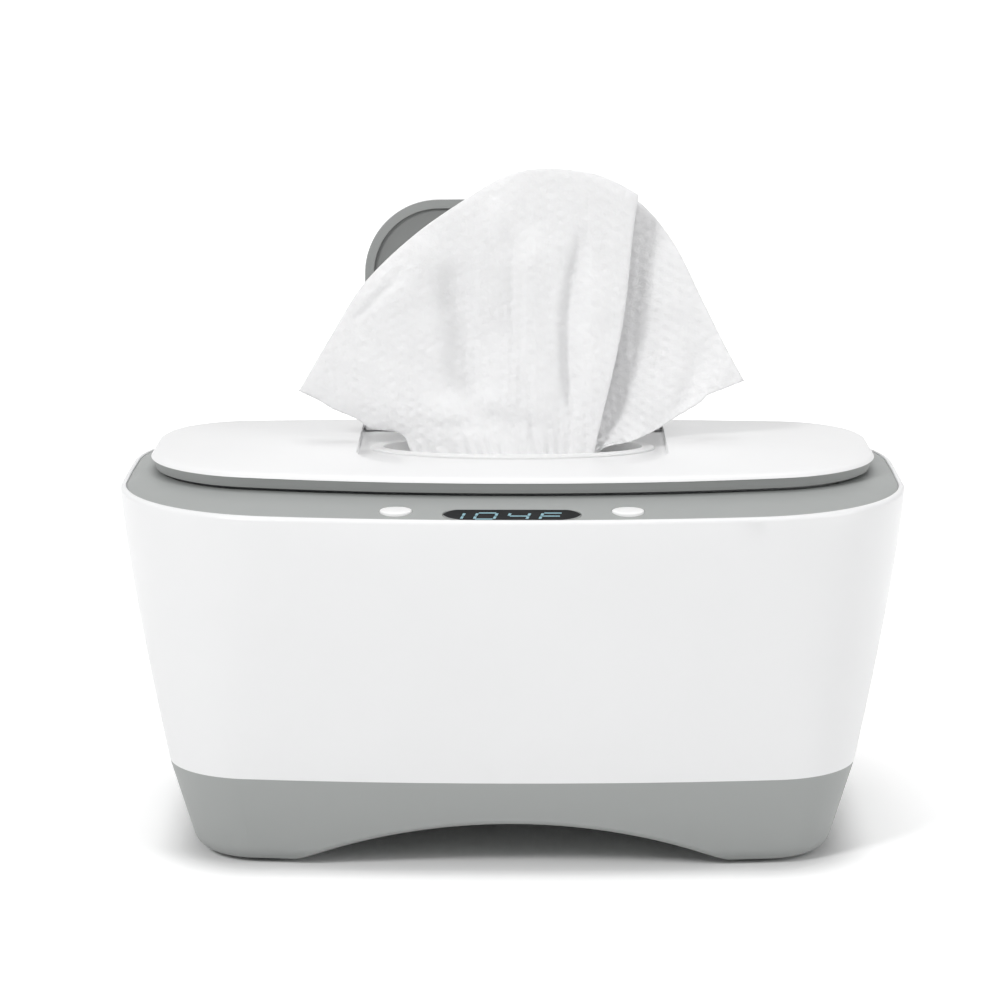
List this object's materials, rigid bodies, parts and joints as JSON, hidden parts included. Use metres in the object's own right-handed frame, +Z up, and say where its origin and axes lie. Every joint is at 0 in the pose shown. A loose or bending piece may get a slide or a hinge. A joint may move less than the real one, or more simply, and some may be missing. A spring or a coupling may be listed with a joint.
{
  "type": "baby wipe warmer",
  "caption": "Heated box that warms a stack of baby wipes, with a hinged lid, a flap over the dispensing slot, push buttons and a display.",
  "frame": {"origin": "on the surface it stands on, under the middle of the body", "axes": "+Z up, +X to the right as seen from the display side, +Y towards the hinges at the back"},
  "size_m": [0.2916, 0.1878, 0.2459],
  "materials": {
    "white_shell": "satin",
    "grey_deck": "satin",
    "grey_base": "satin",
    "white_lid": "satin",
    "grey_liner": "satin",
    "insert": "matte",
    "white_button": "satin",
    "dark_window": "gloss",
    "rubber": "matte",
    "gasket": "matte",
    "steel": "satin",
    "tub": "satin",
    "aluminium": "satin",
    "heater": "satin",
    "insulation": "matte",
    "inner_plastic": "matte",
    "black_plastic": "matte",
    "board": "satin",
    "wire": "matte",
    "wipe": "matte"
  },
  "bodies": {
    "housing": {"outer_shell": "white_shell", "base_cover": "grey_base", "rubber_feet": "rubber", "base_screws": "steel", "deck_bezel": "grey_deck", "lid_hinge_pin": "steel", "deck_screws": "steel", "inner_tub": "tub", "tub_screws": "steel", "heat_spreader": "aluminium", "heater_film": "heater", "insulation_pad": "insulation", "temperature_sensor": "black_plastic", "thermal_fuse": "steel", "heater_cover": "inner_plastic", "heater_screws": "steel", "power_jack": "black_plastic", "jack_nut": "steel", "control_board": "board", "board_screws": "steel", "tact_switches": "black_plastic", "board_parts": "black_plastic", "display_module": "black_plastic", "display_window": "dark_window", "wipe_stack": "wipe", "heater_leads": "wire", "sensor_leads": "wire", "power_leads": "wire"},
    "main_lid": {"lid_liner": "grey_liner", "lid_cover": "white_lid", "lid_screws": "steel", "lid_gasket": "gasket", "dispenser_insert": "insert", "insert_retainer": "inner_plastic", "flap_hinge_pins": "steel", "pulled_wipe": "wipe"},
    "flap": {"flap_cover": "white_lid", "flap_liner": "grey_liner"},
    "power_button": {"power_button": "white_button"},
    "heat_button": {"heat_button": "white_button"}
  },
  "joints": [
    {"name": "main_lid_hinge", "type": "hinge", "parent": "housing", "child": "main_lid", "pos_m": [0, 0.0675, 0.1394], "axis": [-1, 0, 0], "range_deg": [0, 95]},
    {"name": "flap_hinge", "type": "hinge", "parent": "main_lid", "child": "flap", "pos_m": [0, 0.0502, 0.1425], "axis": [1, 0, 0], "range_deg": [0, 98], "deforming": ["pulled_wipe"]},
    {"name": "power_button_press", "type": "slide", "parent": "housing", "child": "power_button", "axis": [0, 0, -1], "range_m": [0, 0.0008], "stiffness_N_per_m": 400, "springref_m": -0.0004},
    {"name": "heat_button_press", "type": "slide", "parent": "housing", "child": "heat_button", "axis": [0, 0, -1], "range_m": [0, 0.0008], "stiffness_N_per_m": 400, "springref_m": -0.0004}
  ]
}
